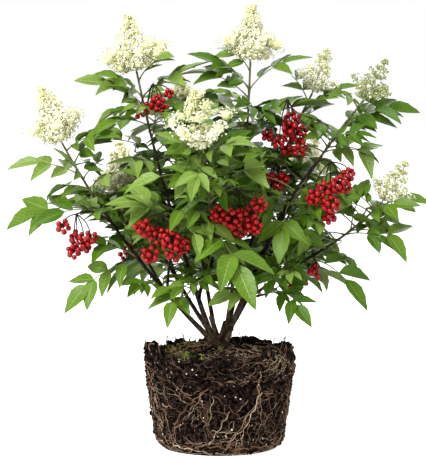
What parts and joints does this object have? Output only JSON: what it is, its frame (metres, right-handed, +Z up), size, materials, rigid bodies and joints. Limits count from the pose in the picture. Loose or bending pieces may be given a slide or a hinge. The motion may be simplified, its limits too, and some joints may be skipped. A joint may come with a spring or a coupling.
{
  "type": "red elderberry shrub on its root ball",
  "caption": "Multi-stemmed red elderberry with white blossom pyramids and hanging red berries, standing on a bare tub-shaped root ball.",
  "frame": {"origin": "middle of the flat underside of the root ball", "axes": "+Z up through the shrub, -Y towards the side that the picture shows, +X to the right as seen from there"},
  "size_m": [0.8825, 0.7295, 0.8887],
  "materials": {
    "soil": "moist dark brown potting soil, matte, laced with fine roots",
    "bark": "dark brown young bark, slightly rough, with pale pores",
    "foliage": "mid green leaves, satin on top",
    "blossom": "cream white florets, matte",
    "berry": "glossy scarlet skin"
  },
  "bodies": {
    "root": {"root_ball": "soil", "root_crown": "bark", "bough_left_long": "bark", "bough_upper_left": "bark", "bough_centre_top": "bark", "bough_right_inner": "bark", "bough_right_long": "bark", "bough_back_left": "bark", "bough_back_centre": "bark", "bough_back_right": "bark", "bough_left_behind": "bark", "bough_left_inner": "bark", "bough_front_centre": "bark", "bough_right_front": "bark", "bough_low_right": "bark", "bough_low_front_right": "bark", "bough_low_front_left": "bark", "bough_back_low_left": "bark", "bough_back_low_right": "bark", "bough_back_mid": "bark", "foliage_left_long": "foliage", "foliage_upper_left": "foliage", "foliage_centre_top": "foliage", "foliage_right_inner": "foliage", "foliage_right_long": "foliage", "foliage_back_left": "foliage", "foliage_back_centre": "foliage", "foliage_back_right": "foliage", "foliage_left_behind": "foliage", "foliage_left_inner": "foliage", "foliage_front_centre": "foliage", "foliage_right_front": "foliage", "foliage_low_right": "foliage", "foliage_low_front_right": "foliage", "foliage_low_front_left": "foliage", "foliage_back_low_left": "foliage", "foliage_back_low_right": "foliage", "foliage_back_mid": "foliage"}
  },
  "joints": []
}
